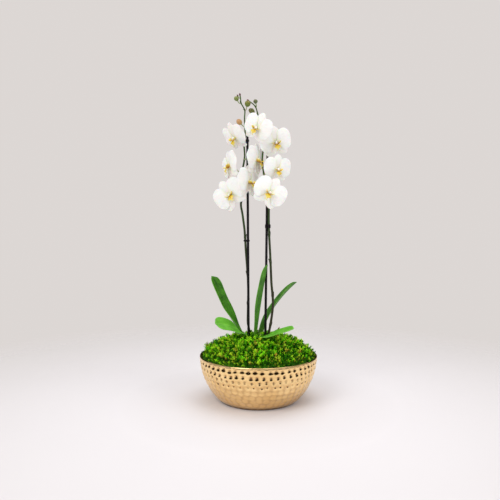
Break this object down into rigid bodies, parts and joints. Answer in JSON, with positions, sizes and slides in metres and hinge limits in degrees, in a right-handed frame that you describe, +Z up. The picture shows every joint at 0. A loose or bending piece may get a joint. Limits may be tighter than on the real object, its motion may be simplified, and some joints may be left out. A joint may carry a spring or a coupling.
{
  "type": "potted orchid",
  "caption": "White moth orchid with two staked flower spikes, standing in a wide hammered gold metal bowl filled with bark under green moss.",
  "frame": {"origin": "centre of the bowl's underside, on the surface it stands on", "axes": "+Z up along the plant, -Y towards the front, +X to the viewer's right"},
  "size_m": [0.3, 0.3, 0.7826],
  "materials": {
    "hammered_gold": "hammered, gold anodised, polished",
    "bark": "rough bark chips",
    "moss": "soft living cushion moss",
    "leaf": "waxy, semi-gloss",
    "stem": "waxy, satin",
    "petal": "soft satin, slightly translucent",
    "lip": "satin, yellow and orange",
    "bud": "satin",
    "black_plastic": "satin moulded",
    "dry_stem": "dry, matt"
  },
  "bodies": {
    "root": {"bowl": "hammered_gold", "growing_medium": "bark", "moss": "moss", "crown_left": "leaf", "crown_right": "leaf", "stake_left": "black_plastic", "stake_right": "black_plastic", "spike_left": "stem", "spike_right": "stem", "leaf_left_upright": "leaf", "leaf_left_low": "leaf", "leaf_centre_tall": "leaf", "leaf_right_upright": "leaf", "leaf_right_low": "leaf", "flower_1_sepals": "petal", "flower_1_petals": "petal", "flower_1_lip": "lip", "flower_2_sepals": "petal", "flower_2_petals": "petal", "flower_2_lip": "lip", "flower_3_sepals": "petal", "flower_3_petals": "petal", "flower_3_lip": "lip", "flower_4_sepals": "petal", "flower_4_petals": "petal", "flower_4_lip": "lip", "flower_5_sepals": "petal", "flower_5_petals": "petal", "flower_5_lip": "lip", "flower_6_sepals": "petal", "flower_6_petals": "petal", "flower_6_lip": "lip", "flower_7_sepals": "petal", "flower_7_petals": "petal", "flower_7_lip": "lip", "flower_8_sepals": "petal", "flower_8_petals": "petal", "flower_8_lip": "lip", "flower_9_sepals": "petal", "flower_9_petals": "petal", "flower_9_lip": "lip", "bud_1": "bud", "bud_2": "bud", "bud_3": "bud", "bud_4": "bud", "bud_5": "bud", "bud_6": "bud", "tip_bud_left": "bud", "tip_bud_right": "bud", "clip_left_low": "black_plastic", "clip_left_high": "black_plastic", "clip_right": "black_plastic", "dry_twig": "dry_stem"}
  },
  "joints": []
}
